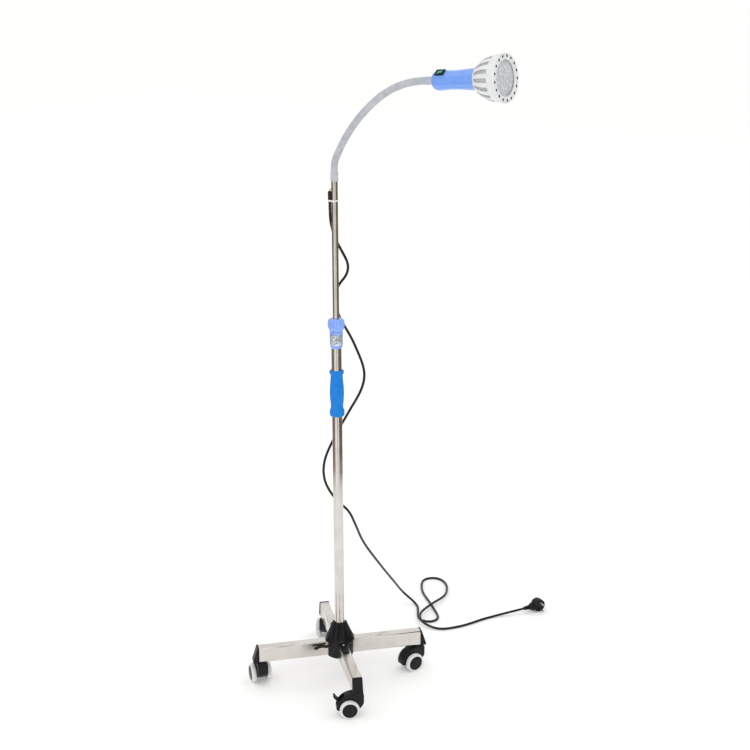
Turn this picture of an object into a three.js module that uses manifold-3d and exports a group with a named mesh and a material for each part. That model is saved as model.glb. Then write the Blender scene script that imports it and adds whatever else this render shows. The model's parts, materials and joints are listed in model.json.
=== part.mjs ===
// Mobile examination lamp: a four-leg base on twin-wheel casters, a telescopic mast,
// a flexible gooseneck and a hand-held lamp head with an LED reflector lamp.
// Units are millimetres, +Z is up, and the head points along +X.
import * as THREE from 'three';
import { mergeVertices } from 'three/addons/utils/BufferGeometryUtils.js';
import Module from 'manifold-3d';

const wasm = await Module();
wasm.setup();

// ---------------------------------------------------------------- driving dimensions
const GAP = 0.3; // between pieces that touch
const ROUND = 20; // sides of a round piece

const LEG = { width: 25, height: 40, wall: 1.5, top: 108, inner: 20, outer: 215, corner: 3 };
const LEG_ANGLES = { right: 48, back: 138, left: 228, front: 318 }; // degrees from the head
const CAP = { topDepth: 3, footDepth: 16, foot: 66.5, plugLength: 19 };

const STEM = { reach: 208, radius: 5, flange: 10, bottom: 42, seat: 64.8, top: 92 };
const WHEEL = { radius: 25, disc: 19, width: 13.1, trail: 19.3 };
const HOOD_WIDTH = 27;
const AXLE_RADIUS = 3.7;
const CASTER_HEADINGS = { right: 247, back: 117, left: 143, front: 222 }; // degrees
const BRAKED = ['front', 'back'];
const LEVER = { pivotU: 20, pivotW: 14, width: 18 };

const HUB = { bottom: 64, radius: 36, coneTop: 155, coneTopRadius: 19, tongue: 88 };
const WING = { reach: 54, height: 98, span: 40, thickness: 5 };

const LOWER = { radius: 12.7, wall: 1.2, bottom: 76, top: 930 };
const UPPER = { radius: 8, wall: 1, bottom: 650, top: 1314, cordHole: 1291 };
const GRIP = { bottom: 725, height: 119.5 };
const COLLAR = { bottom: 901.5, shoulder: 944.6, spigotTop: 957, radius: 16.2 };
const NUT = { bottom: 945.2, top: 976.5, radius: 21, flutes: 12 };

const NECK = { radius: 8.6, bore: 3, ball: 7.9, socket: 8.3, rim: 3.9, pieces: 5 };
const NECK_ARCS = [[28, 0], [28, 26], [196, 28], [130, 30.78], [34, 0]]; // length, bend
const NECK_START = 1317;
const FERRULE = { radius: 9.4, length: 20 };

const HANDLE = { rear: 183, wall: 2.5 }; // distance behind the lamp's face
const SWITCH = { station: 160, turn: 37, length: 23, width: 18, seat: 21.4 };
const FINS = 16; // grooves round the lamp's housing
const RIM = { radius: 54.3, opening: 39.2, vents: 17, ventCircle: 47.5, ventRadius: 2.9 };

const CORD = { radius: 3.25, steps: 80, sides: 8, tieHeight: 1268 };
const PLUG = { x: 240, y: 628, z: 18.3, pinHeading: -27, radius: 18, depth: 26 };

// The mains cord: tied to the upper tube, wound loosely round the mast, hanging to the
// floor, one loop on the floor, then on to the plug. Points are from the mast's axis.
const CORD_ROUTE = [
  [-9.4, -6.8, 1289], [-9.4, -6.8, 1256], [-12.5, 0.5, 1211], [-6, 13.5, 1166],
  [13, 21, 1129], [18, 29, 1106], [16, 24, 1083], [-5, 14, 1052],
  [-14, 23, 990], [19, 46, 907], [43, 58, 830], [37, 54, 788],
  [8, 39, 726], [-16, 15, 666], [-36, -8, 598], [-37, -7, 545],
  [-20, 14, 492], [2, 40, 455], [1, 70, 408], [-19, 133, 330],
  [-40, 241, 216], [-72, 351, 116], [-99, 451, 26], [-62, 454, 3.4],
  [1, 378, 3.4], [32, 383, 3.4], [41, 410, 3.4], [-18, 470, 3.4],
  [-99, 540, 3.4], [-134, 607, 3.4], [-109, 634, 3.4], [-70, 621, 3.4],
  [-21, 545, 8], [-17, 465, 11.5], [-10, 396, 11], [25, 358, 10],
  [75, 360, 4], [118, 412, 3.4], [158, 508, 3.4], [218.3, 585.4, 14.6],
];

// ---------------------------------------------------------------- materials
const paint = (color, roughness, metalness = 0) =>
  new THREE.MeshStandardMaterial({ color, roughness, metalness, flatShading: true });

const steel = () => paint(0xb9b4ad, 0.25, 1);
const blackPlastic = () => paint(0x1c1c1f, 0.5);
const bluePlastic = () => paint(0x7fa4ee, 0.35);
const blueRubber = () => paint(0x1e7fe0, 0.6);
const greySleeve = () => paint(0xb4b8bf, 0.45);
const whitePlastic = () => paint(0xf0f1f2, 0.4);
const wheelPlastic = () => paint(0xe9e9e6, 0.5);
const brass = () => paint(0xc9a85a, 0.35, 1);
const lensPlastic = () => paint(0xb7c2d4, 0.15);
const greenPlastic = () => paint(0x0c7a4d, 0.25);

// ---------------------------------------------------------------- solid helpers
const X = new THREE.Vector3(1, 0, 0);
const Y = new THREE.Vector3(0, 1, 0);
const Z = new THREE.Vector3(0, 0, 1);
const radians = THREE.MathUtils.degToRad;

function signedVolume(geometry) {
  const p = geometry.attributes.position;
  const index = geometry.index;
  const corner = (i) => new THREE.Vector3().fromBufferAttribute(p, index.getX(i));
  let volume = 0;
  for (let i = 0; i < index.count; i += 3) {
    volume += corner(i).dot(corner(i + 1).cross(corner(i + 2))) / 6;
  }
  return volume;
}

// One closed skin of shared vertices, with its faces pointing out.
function closed(geometry) {
  const bare = geometry.clone();
  bare.deleteAttribute('normal');
  bare.deleteAttribute('uv');
  const merged = mergeVertices(bare, 1e-3);
  const kept = [];
  const index = merged.index.array;
  for (let i = 0; i < index.length; i += 3) {
    const [a, b, c] = index.subarray(i, i + 3);
    if (a !== b && b !== c && c !== a) kept.push(a, b, c);
  }
  merged.setIndex(kept);
  if (signedVolume(merged) < 0) merged.setIndex(kept.reverse());
  merged.computeVertexNormals();
  return merged;
}

function toSolid(geometry) {
  const g = closed(geometry);
  const vertProperties = new Float32Array(g.attributes.position.array);
  const triVerts = new Uint32Array(g.index.array);
  return new wasm.Manifold(new wasm.Mesh({ numProp: 3, vertProperties, triVerts }));
}

function toGeometry(solid) {
  const mesh = solid.getMesh();
  const geometry = new THREE.BufferGeometry();
  geometry.setAttribute('position', new THREE.BufferAttribute(mesh.vertProperties, 3));
  geometry.setIndex(new THREE.BufferAttribute(mesh.triVerts, 1));
  geometry.computeVertexNormals();
  return geometry;
}

function join(...geometries) {
  return toGeometry(geometries.map(toSolid).reduce((all, one) => all.add(one)));
}

function cut(body, ...tools) {
  return toGeometry(tools.map(toSolid).reduce((left, tool) => left.subtract(tool), toSolid(body)));
}

// A solid of revolution about Z from [radius, height] points.
function lathe(profile, sides = ROUND) {
  const points = profile.map(([r, z]) => new THREE.Vector2(r, z));
  return new THREE.LatheGeometry(points, sides).rotateX(Math.PI / 2);
}

function ring(inner, outer, bottom, top, sides = ROUND) {
  return lathe([[inner, bottom], [outer, bottom], [outer, top], [inner, top], [inner, bottom]], sides);
}

function rod(radius, bottom, top, sides = ROUND) {
  return lathe([[0, bottom], [radius, bottom], [radius, top], [0, top]], sides);
}

function block(x0, x1, y0, y1, z0, z1) {
  const box = new THREE.BoxGeometry(x1 - x0, y1 - y0, z1 - z0);
  return box.translate((x0 + x1) / 2, (y0 + y1) / 2, (z0 + z1) / 2);
}

function polygon(points) {
  return new THREE.Shape(points.map(([a, b]) => new THREE.Vector2(a, b)));
}

function roundedBox(width, height, corner, centreY) {
  const shape = new THREE.Shape();
  const x = width / 2 - corner;
  const y = height / 2 - corner;
  shape.absarc(x, centreY - y, corner, -Math.PI / 2, 0);
  shape.absarc(x, centreY + y, corner, 0, Math.PI / 2);
  shape.absarc(-x, centreY + y, corner, Math.PI / 2, Math.PI);
  shape.absarc(-x, centreY - y, corner, Math.PI, Math.PI * 1.5);
  return shape;
}

const extrude = (shape, depth, curveSegments = 3) =>
  new THREE.ExtrudeGeometry(shape, { depth, bevelEnabled: false, curveSegments, steps: 1 });

// An outline drawn in (y, z), run along X from one station to another.
function alongX(shape, from, to) {
  const turned = extrude(shape, to - from).applyMatrix4(new THREE.Matrix4().makeBasis(Y, Z, X));
  return turned.translate(from, 0, 0);
}

// An outline drawn in (x, z), run along Y and centred on y = 0.
function acrossY(shape, width) {
  const basis = new THREE.Matrix4().makeBasis(X, Z, Y.clone().negate());
  return extrude(shape, width).applyMatrix4(basis).translate(0, width / 2, 0);
}

function add(parent, name, geometry, material) {
  const mesh = new THREE.Mesh(closed(geometry), material);
  mesh.name = name;
  parent.add(mesh);
  return mesh;
}

function turnedGroup(parent, degrees, x = 0, y = 0) {
  const group = new THREE.Group();
  group.rotation.z = radians(degrees);
  group.position.set(x, y, 0);
  parent.add(group);
  return group;
}

// ---------------------------------------------------------------- base
function legTube() {
  const middle = LEG.top - LEG.height / 2;
  const outline = roundedBox(LEG.width, LEG.height, LEG.corner, middle);
  const { width, height, wall, corner } = LEG;
  outline.holes.push(roundedBox(width - 2 * wall, height - 2 * wall, corner - wall, middle));
  const tube = alongX(outline, LEG.inner, LEG.outer);
  const bottom = LEG.top - LEG.height;
  const stemHole = rod(STEM.radius + 1, bottom - 1, bottom + 4, 16).translate(STEM.reach, 0, 0);
  return cut(tube, stemHole);
}

function endCap() {
  const start = LEG.outer + GAP;
  const wedge = polygon([
    [start, CAP.foot], [start + CAP.footDepth, CAP.foot], [start + CAP.footDepth, CAP.foot + 4],
    [start + CAP.topDepth, LEG.top + 0.5], [start, LEG.top + 0.5],
  ]);
  const inset = LEG.wall + 2 * GAP;
  const halfWidth = LEG.width / 2 - inset;
  const bottom = LEG.top - LEG.height + inset;
  const plug = block(
    LEG.outer - CAP.plugLength, start + 1, -halfWidth, halfWidth, bottom, LEG.top - inset);
  const bore = rod(STEM.radius + 0.4, bottom - 1, STEM.top + 1, 16).translate(STEM.reach, 0, 0);
  const flangeRoom = rod(STEM.flange + 0.5, 60, LEG.top - LEG.height + GAP, 16);
  const body = join(acrossY(wedge, LEG.width + 1), plug);
  return cut(body, bore, flangeRoom.translate(STEM.reach, 0, 0));
}

function casterStem() {
  return lathe([
    [0, STEM.bottom], [STEM.radius, STEM.bottom], [STEM.radius, STEM.seat],
    [STEM.flange, STEM.seat], [STEM.flange, LEG.top - LEG.height - GAP],
    [STEM.radius, LEG.top - LEG.height - GAP], [STEM.radius, STEM.top], [0, STEM.top],
  ], 12);
}

// Side outline of a caster's hood, from the wheel's centre: u trails, w is up.
const HOOD_OUTLINE = [
  [31, -5], [33, 2], [31, 11], [26, 21], [19, 28], [8, 34], [-4, 38], [-14, 39.3], [-33, 39.3],
  [-37, 35], [-37, 10], [-27, -3], [-12, -8], [0, -12], [12, -8],
];

function casterHood(braked) {
  const outline = HOOD_OUTLINE.map(([u, w]) => [WHEEL.trail + u, WHEEL.radius + w]);
  const bore = rod(STEM.radius + 0.4, STEM.bottom - 1, 80, 16);
  const axleHole = acrossWheel(rod(AXLE_RADIUS + GAP, -30, 30, 12));
  const tools = [bore, axleHole];
  if (braked) {
    const u = WHEEL.trail + LEVER.pivotU;
    const w = WHEEL.radius + LEVER.pivotW;
    const half = LEVER.width / 2 + 0.5;
    tools.push(block(u - 6, u + 30, -half, half, w - 6, w + 40));
  }
  return cut(acrossY(polygon(outline), HOOD_WIDTH), ...tools);
}

// Moves a solid of revolution about Z onto the wheel's axle, which runs along Y.
function acrossWheel(geometry, side = 1) {
  return geometry.rotateX(-side * Math.PI / 2).translate(WHEEL.trail, 0, WHEEL.radius);
}

function casterWheel(side) {
  const r = WHEEL.radius;
  const d = WHEEL.disc;
  const w = WHEEL.width;
  const bore = AXLE_RADIUS + 0.4;
  const profile = [
    [0, w - 2.4], [bore, w - 2.4], [bore, 0], [r - 2, 0], [r, 2.5], [r, w - 4],
    [r - 1.5, w - 1.2], [d, w], [0, w],
  ];
  const stand = profile.map(([radius, height]) => [radius, height + HOOD_WIDTH / 2 + GAP + 0.1]);
  return acrossWheel(lathe(stand, 16), side);
}

function brakeLever() {
  const arm = polygon([
    [LEVER.pivotU - 3, LEVER.pivotW + 3], [LEVER.pivotU + 3.5, LEVER.pivotW - 2.5],
    [LEVER.pivotU + 20, LEVER.pivotW + 17], [LEVER.pivotU + 19, LEVER.pivotW + 21],
    [LEVER.pivotU + 16, LEVER.pivotW + 21],
  ]);
  const barrel = rod(5, -LEVER.width / 2, LEVER.width / 2, 12).rotateX(Math.PI / 2);
  barrel.translate(LEVER.pivotU, 0, LEVER.pivotW);
  return join(acrossY(arm, LEVER.width - 2), barrel).translate(WHEEL.trail, 0, WHEEL.radius);
}

function addCaster(leg, side) {
  const heading = CASTER_HEADINGS[side] - LEG_ANGLES[side];
  const caster = turnedGroup(leg, heading, STEM.reach);
  const braked = BRAKED.includes(side);
  add(caster, `caster_stem_${side}`, casterStem(), steel());
  add(caster, `caster_hood_${side}`, casterHood(braked), blackPlastic());
  add(caster, `caster_axle_${side}`, acrossWheel(rod(AXLE_RADIUS, -23.5, 23.5, 12)), steel());
  add(caster, `caster_wheel_${side}_a`, casterWheel(1), wheelPlastic());
  add(caster, `caster_wheel_${side}_b`, casterWheel(-1), wheelPlastic());
  if (braked) add(caster, `brake_lever_${side}`, brakeLever(), blackPlastic());
}

// A wing screw through a leg's side wall: its shank runs along -Y, towards the leg.
function wingScrew(turn) {
  const face = LEG.width / 2;
  const shank = rod(3, -7, 6, 12);
  const boss = rod(5, GAP, 6, 12);
  const half = WING.span / 2;
  const lobe = [
    [5, 2.5], [half - 7, 4], [half - 1.5, 7], [half, 11], [half - 3, 15], [half - 9, 16], [5, 10],
  ];
  const mirrored = lobe.map(([a, b]) => [-a, b]).reverse();
  const wing = acrossY(polygon([...lobe, ...mirrored]), WING.thickness);
  const screw = join(shank, boss, wing).rotateZ(radians(turn)).rotateX(-Math.PI / 2);
  return screw.translate(WING.reach, face, WING.height);
}

function hub() {
  const { bottom, radius, coneTop, coneTopRadius } = HUB;
  const body = lathe([
    [0, bottom], [radius - 3, bottom], [radius, bottom + 3], [radius + 0.5, LEG.top - 2],
    [radius + 2, LEG.top], [coneTopRadius + 1, coneTop - 3], [coneTopRadius, coneTop],
    [0, coneTop],
  ], 28);
  const tongue = polygon([
    [-9.5, 30], [9.5, 30], [9.5, HUB.tongue - 8], [7.6, HUB.tongue - 3.5],
    [4.2, HUB.tongue - 0.8], [0, HUB.tongue], [-4.2, HUB.tongue - 0.8],
    [-7.6, HUB.tongue - 3.5], [-9.5, HUB.tongue - 8],
  ]);
  const tongues = [LEG_ANGLES.front, LEG_ANGLES.back].map((angle) =>
    extrude(tongue, 3.2).rotateZ(radians(angle - 90)).translate(0, 0, LEG.top + GAP));
  const pockets = Object.values(LEG_ANGLES).map((angle) =>
    block(LEG.inner - GAP, radius + 30, -LEG.width / 2 - GAP, LEG.width / 2 + GAP,
      LEG.top - LEG.height - GAP, LEG.top + GAP).rotateZ(radians(angle)));
  const socket = rod(LOWER.radius + GAP, LOWER.bottom - GAP, coneTop + 1);
  const boltHole = rod(5.4, bottom - 1, LOWER.bottom + 1, 16);
  const headRecess = rod(9.4, bottom - 1, bottom + 5.5, 16);
  return cut(join(body, ...tongues), ...pockets, socket, boltHole, headRecess);
}

function addBase(parent) {
  add(parent, 'base_hub', hub(), blackPlastic());
  const bolt = lathe([
    [0, HUB.bottom + 0.6], [9, HUB.bottom + 0.6], [9, HUB.bottom + 5.2], [5, HUB.bottom + 5.2],
    [5, LOWER.bottom + 16], [0, LOWER.bottom + 16],
  ], 16);
  add(parent, 'hub_bolt', bolt, steel());
  for (const [side, angle] of Object.entries(LEG_ANGLES)) {
    const leg = turnedGroup(parent, angle);
    const tube = legTube();
    const screwed = side === 'left' || side === 'right';
    const hole = rod(3.4, -4, 4, 12).rotateX(Math.PI / 2);
    hole.translate(WING.reach, LEG.width / 2, WING.height);
    add(leg, `leg_${side}`, screwed ? cut(tube, hole) : tube, steel());
    add(leg, `end_cap_${side}`, endCap(), blackPlastic());
    addCaster(leg, side);
    if (screwed) add(leg, `wing_screw_${side}`, wingScrew(side === 'right' ? 62 : 4), blackPlastic());
  }
}

// ---------------------------------------------------------------- mast
function handGrip() {
  const bore = LOWER.radius + GAP;
  const outline = [
    [bore, 0], [17.6, 0], [18.6, 3], [18.6, 15], [15, 20], [15.2, 27], [17.2, 42],
    [17.9, 60], [17.4, 79], [14.9, 104], [15.4, 109], [18.2, 111.5],
    [18.2, GRIP.height - 3], [14, GRIP.height], [bore, GRIP.height], [bore, 0],
  ];
  return lathe(outline).translate(0, 0, GRIP.bottom);
}

function collarBody() {
  const { bottom, shoulder, spigotTop, radius } = COLLAR;
  const bore = LOWER.radius + GAP;
  return lathe([
    [bore, bottom], [13.8, bottom], [radius, bottom + 7], [radius, shoulder], [14, shoulder],
    [14, spigotTop], [12.2, spigotTop], [12.2, LOWER.top + 6], [10.5, LOWER.top + 4],
    [10.5, LOWER.top + GAP], [bore, LOWER.top + GAP], [bore, bottom],
  ]);
}

// The lock nut's bulb: every second side is pulled in to make the finger flutes.
function lockNut() {
  const { bottom, top, radius, flutes } = NUT;
  const outline = [
    [14.4, bottom], [16.6, bottom], [18.6, bottom + 4.5], [20.2, bottom + 9],
    [radius, bottom + 15], [radius - 0.3, bottom + 21.5], [19.5, bottom + 27],
    [17.5, bottom + 29.5], [14, top], [8.5, top],
    [8.5, top - 4], [14.4, top - 17], [14.4, bottom],
  ];
  const geometry = closed(lathe(outline, 2 * flutes));
  const place = geometry.attributes.position;
  for (let i = 0; i < place.count; i += 1) {
    const r = Math.hypot(place.getX(i), place.getY(i));
    const side = Math.round((Math.atan2(place.getY(i), place.getX(i)) / Math.PI) * flutes);
    if (r < 16 || side % 2 === 0) continue;
    const pulled = (r - 1.1) / r;
    place.setXY(i, place.getX(i) * pulled, place.getY(i) * pulled);
  }
  return geometry;
}

function collet() {
  const cone = lathe([
    [8.35, COLLAR.shoulder - 3], [11.6, COLLAR.shoulder - 3], [11.9, COLLAR.spigotTop - 1],
    [11.4, COLLAR.spigotTop + 2], [10, COLLAR.spigotTop + 6], [8.35, COLLAR.spigotTop + 6],
    [8.35, COLLAR.shoulder - 3],
  ]);
  return cut(cone, block(-0.8, 0.8, 0, 15, COLLAR.shoulder - 5, COLLAR.spigotTop + 8));
}

function upperTube() {
  const tube = ring(UPPER.radius - UPPER.wall, UPPER.radius, UPPER.bottom, UPPER.top);
  const cordHole = rod(2.4, 0, 12, 10).rotateY(Math.PI / 2);
  cordHole.rotateZ(Math.atan2(CORD_ROUTE[0][1], CORD_ROUTE[0][0]));
  return cut(tube, cordHole.translate(0, 0, UPPER.cordHole));
}

function addMast(parent) {
  const { radius, wall, bottom, top } = LOWER;
  const tube = ring(radius - wall, radius, bottom, top);
  const threadedFoot = ring(5.4, radius - wall / 2, bottom, bottom + 22);
  add(parent, 'lower_tube', join(tube, threadedFoot), steel());
  add(parent, 'hand_grip', handGrip(), blueRubber());
  add(parent, 'collar_body', collarBody(), bluePlastic());
  add(parent, 'lock_nut', lockNut(), bluePlastic());
  add(parent, 'collet', collet(), whitePlastic());
  add(parent, 'upper_tube', upperTube(), steel());
  const bush = ring(UPPER.radius + GAP, radius - wall - GAP, UPPER.bottom + 2, UPPER.bottom + 22);
  add(parent, 'guide_bush', bush, whitePlastic());
}

// ---------------------------------------------------------------- gooseneck
const NECK_LENGTH = NECK_ARCS.reduce((total, [length]) => total + length, 0);

// Place and direction (degrees from vertical) at a distance along the neck's centre line.
function neckAt(distance) {
  let left = distance;
  let angle = 0;
  let x = 0;
  let z = NECK_START;
  for (const [length, bend] of NECK_ARCS) {
    const run = Math.min(left, length);
    const turn = radians((bend * run) / length);
    const a = radians(angle);
    if (bend === 0) {
      x += run * Math.sin(a);
      z += run * Math.cos(a);
    } else {
      const r = length / radians(bend);
      x += r * (Math.cos(a) - Math.cos(a + turn));
      z += r * (Math.sin(a + turn) - Math.sin(a));
    }
    angle += (bend * run) / length;
    left -= run;
    if (left <= 0) break;
  }
  return { x, z, angle };
}

// Joins circles centred on the neck's line; the last one closes onto the first.
function sleeve(circles, sides = 16) {
  const points = [];
  for (const { distance, offset, radius } of circles) {
    const { x, z, angle } = neckAt(distance);
    const along = new THREE.Vector3(Math.sin(radians(angle)), 0, Math.cos(radians(angle)));
    const inward = new THREE.Vector3(along.z, 0, -along.x);
    for (let k = 0; k < sides; k += 1) {
      const turn = (2 * Math.PI * k) / sides;
      const point = new THREE.Vector3(x, 0, z).addScaledVector(along, offset);
      point.addScaledVector(inward, radius * Math.cos(turn));
      point.addScaledVector(Y, radius * Math.sin(turn));
      points.push(point);
    }
  }
  const index = [];
  const count = circles.length;
  for (let i = 0; i < count; i += 1) {
    for (let k = 0; k < sides; k += 1) {
      const a = i * sides + k;
      const b = i * sides + ((k + 1) % sides);
      const c = ((i + 1) % count) * sides + k;
      const d = ((i + 1) % count) * sides + ((k + 1) % sides);
      index.push(a, b, c, b, d, c);
    }
  }
  return new THREE.BufferGeometry().setFromPoints(points).setIndex(index);
}

// One stiff length of the neck: a socket at its start and a ball at its end.
function neckPiece(number) {
  const length = NECK_LENGTH / NECK.pieces;
  const start = number * length;
  const end = start + length;
  const circles = [];
  const first = number === 0;
  const last = number === NECK.pieces - 1;
  const rings = 5;
  const from = first ? 0 : NECK.rim;
  circles.push({ distance: start, offset: from, radius: NECK.radius });
  for (let i = 1; i < rings; i += 1) {
    const distance = start + from + ((length - from) * i) / rings;
    circles.push({ distance, offset: 0, radius: NECK.radius });
  }
  circles.push({ distance: end, offset: 0, radius: NECK.radius });
  if (!last) {
    for (const degrees of [0, 22, 44, 65]) {
      const t = radians(degrees);
      const radius = NECK.ball * Math.cos(t);
      circles.push({ distance: end, offset: NECK.ball * Math.sin(t), radius });
    }
  }
  const tip = last ? 0 : NECK.ball * Math.sin(radians(65));
  circles.push({ distance: end, offset: tip, radius: NECK.bore });
  circles.push({ distance: (start + end) / 2, offset: 0, radius: NECK.bore });
  if (first) {
    circles.push({ distance: start, offset: 0, radius: NECK.bore });
    return sleeve(circles);
  }
  const rimAngle = Math.asin(NECK.rim / NECK.socket);
  const deep = Math.acos(NECK.bore / NECK.socket);
  for (let i = 0; i <= 3; i += 1) {
    const t = THREE.MathUtils.lerp(deep, rimAngle, i / 3);
    const radius = NECK.socket * Math.cos(t);
    circles.push({ distance: start, offset: NECK.socket * Math.sin(t), radius });
  }
  return sleeve(circles);
}

function addNeck(parent) {
  const inside = UPPER.radius - UPPER.wall - GAP;
  const top = NECK_START + FERRULE.length - 3;
  const base = lathe([
    [4.4, UPPER.top - 20], [inside, UPPER.top - 20], [inside, UPPER.top + GAP],
    [FERRULE.radius, UPPER.top + GAP], [FERRULE.radius, top], [NECK.radius + GAP, top],
    [NECK.radius + GAP, NECK_START - GAP], [4.4, NECK_START - GAP], [4.4, UPPER.top - 20],
  ]);
  add(parent, 'neck_base_ferrule', base, greySleeve());
  for (let i = 0; i < NECK.pieces; i += 1) {
    add(parent, `neck_piece_${i + 1}`, neckPiece(i), greySleeve());
  }
}

// ---------------------------------------------------------------- lamp head
// The head's own axis is its local Z, with the front face at zero and the handle behind.
function headGroup(parent) {
  const { x, z, angle } = neckAt(NECK_LENGTH);
  const group = new THREE.Group();
  group.rotation.y = radians(angle);
  group.position.set(x, 0, z);
  group.translateZ(HANDLE.rear - HANDLE.wall + GAP);
  parent.add(group);
  return group;
}

const behind = (points) => points.map(([radius, distance]) => [radius, -distance]);

function onSwitchSeat(geometry) {
  // Local frame of the seat: Z out of the handle, X along the handle.
  const turned = geometry.rotateY(-Math.PI / 2).rotateZ(radians(SWITCH.turn));
  return turned.translate(0, 0, -SWITCH.station);
}

function handleShell() {
  const { rear, wall } = HANDLE;
  const outer = [
    [25.2, 71.6], [24.7, 77], [22.5, 102], [20.8, 128], [21.4, 148], [22.9, 166],
    [22.4, 175], [19, 181], [14, rear],
  ];
  const inner = [
    [14, rear - wall], [18, 178.5], [20.3, 166], [18.6, 128], [22.7, 71.6],
  ];
  const shell = lathe(behind([...outer, [9.9, rear], [9.9, rear - wall], ...inner, outer[0]]));
  const { length, width, seat } = SWITCH;
  const halfLength = length / 2 + 0.4;
  const halfWidth = width / 2 + 0.4;
  const boss = onSwitchSeat(block(-halfLength, halfLength, -halfWidth, halfWidth, 17.5, seat));
  const crown = onSwitchSeat(
    block(-halfLength, halfLength, -halfWidth, halfWidth, seat, seat + 5));
  const mouth = onSwitchSeat(block(-10, 10, -7, 7, 8, seat + 1));
  return cut(join(shell, boss), crown, mouth);
}

function switchBody() {
  const { length, width, seat } = SWITCH;
  const flange = block(-length / 2, length / 2, -width / 2, width / 2, seat + GAP, seat + 3);
  const box = block(-9.6, 9.6, -6.6, 6.6, 9, seat + 1);
  const well = block(-8.2, 8.2, -5.4, 5.4, 14, seat + 4);
  return onSwitchSeat(cut(join(flange, box), well));
}

function rockerCap() {
  const top = SWITCH.seat + 3;
  const outline = polygon([
    [-7.6, top - 0.9], [-6.6, top - 5], [0, top - 8], [7.4, top - 2.5], [7.6, top + 3.9],
    [0, top - 0.4],
  ]);
  return onSwitchSeat(acrossY(outline, 10));
}

function lampHousing() {
  const outer = [
    [26, 71], [34, 62.6], [42.2, 51], [47.3, 39.5], [50.4, 26], [52.6, 4.6],
  ];
  const inner = [
    [50, 4.6], [47.8, 26], [44.4, 39], [39.4, 49.5], [31.8, 60], [24.6, 67.6], [5, 67.6],
  ];
  const shell = lathe(behind([...outer, ...inner, [5, 71], outer[0]]), 32);
  const grooves = [];
  for (let i = 0; i < FINS; i += 1) {
    const slot = block(-3.6, 3.6, 40, 60, -60, -20.5).rotateX(radians(-19)).translate(0, -5.5, 5);
    grooves.push(slot.rotateZ((2 * Math.PI * i) / FINS));
  }
  return cut(shell, ...grooves);
}

function ventedRim() {
  const { radius, opening, vents, ventCircle, ventRadius } = RIM;
  const rim = lathe(behind([
    [opening, 0.8], [opening + 1, 0], [radius - 1.2, 0], [radius, 1.2], [radius, 4.2],
    [42.8, 4.2], [42.8, 8], [41.6, 8], [41.6, 4.2], [opening, 4.2], [opening, 0.8],
  ]), 34);
  const holes = [];
  for (let i = 0; i < vents; i += 1) {
    const hole = rod(ventRadius, -10, 4, 8).translate(ventCircle, 0, 0);
    holes.push(hole.rotateZ((2 * Math.PI * i) / vents));
  }
  return cut(rim, ...holes);
}

function addHead(parent) {
  const head = headGroup(parent);
  add(head, 'handle', handleShell(), bluePlastic());
  const nut = HANDLE.rear - HANDLE.wall - GAP;
  const ferrule = lathe(behind([
    [NECK.radius + GAP, 207], [FERRULE.radius, 207], [FERRULE.radius, nut],
    [12.5, nut], [12.5, nut - 3.5], [NECK.radius + GAP, nut - 3.5], [NECK.radius + GAP, 207],
  ]));
  add(head, 'neck_head_ferrule', ferrule, greySleeve());
  add(head, 'switch_body', switchBody(), blackPlastic());
  add(head, 'switch_rocker', rockerCap(), greenPlastic());
  const socket = lathe(behind([
    [0, 112], [18, 112], [18, 73], [14.2, 73], [14.2, 109], [0, 109],
  ]));
  add(head, 'lamp_socket', socket, whitePlastic());
  const screwBase = lathe(behind([
    [0, 71.4], [13.6, 71.4], [13.6, 96], [9, 101], [4, 105], [0, 105],
  ]), 20);
  add(head, 'lamp_screw_base', screwBase, brass());
  add(head, 'lamp_housing', lampHousing(), whitePlastic());
  add(head, 'vented_rim', ventedRim(), whitePlastic());
  add(head, 'lamp_lens', rod(41, -7.5, -4.5, 34), lensPlastic());
  add(head, 'led_board', rod(40, -14, -12, 34), whitePlastic());
}

// ---------------------------------------------------------------- mains lead
class Route extends THREE.CatmullRomCurve3 {
  constructor() {
    super(CORD_ROUTE.map((p) => new THREE.Vector3(...p)), false, 'centripetal');
    this.arcLengthDivisions = 2000;
  }

  // The cord rests on the floor and never dips below it.
  getPoint(t, target) {
    const point = super.getPoint(t, target);
    point.z = Math.max(point.z, CORD.radius + 0.15);
    return point;
  }
}

function cordTube() {
  const section = new THREE.Shape();
  for (let i = 0; i < CORD.sides; i += 1) {
    const turn = (2 * Math.PI * i) / CORD.sides;
    const place = [CORD.radius * Math.cos(turn), CORD.radius * Math.sin(turn)];
    if (i === 0) section.moveTo(...place);
    else section.lineTo(...place);
  }
  return new THREE.ExtrudeGeometry(section, { steps: CORD.steps, extrudePath: new Route() });
}

// The outline of a strap round two circles, the second one at a distance along X.
function strapOutline(radius, second, distance) {
  const lean = Math.acos((radius - second) / distance);
  const shape = new THREE.Shape();
  shape.absarc(0, 0, radius, lean, 2 * Math.PI - lean);
  shape.absarc(distance, 0, second, -lean, lean);
  return shape;
}

function cableTie() {
  const [x, y] = CORD_ROUTE[1];
  const distance = Math.hypot(x, y);
  const outline = strapOutline(UPPER.radius + 1.7, CORD.radius + 1.7, distance);
  outline.holes.push(strapOutline(UPPER.radius + 0.35, CORD.radius + 0.35, distance));
  const strap = extrude(outline, 4, 8).rotateZ(Math.atan2(y, x));
  return strap.translate(0, 0, CORD.tieHeight - 2);
}

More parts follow.
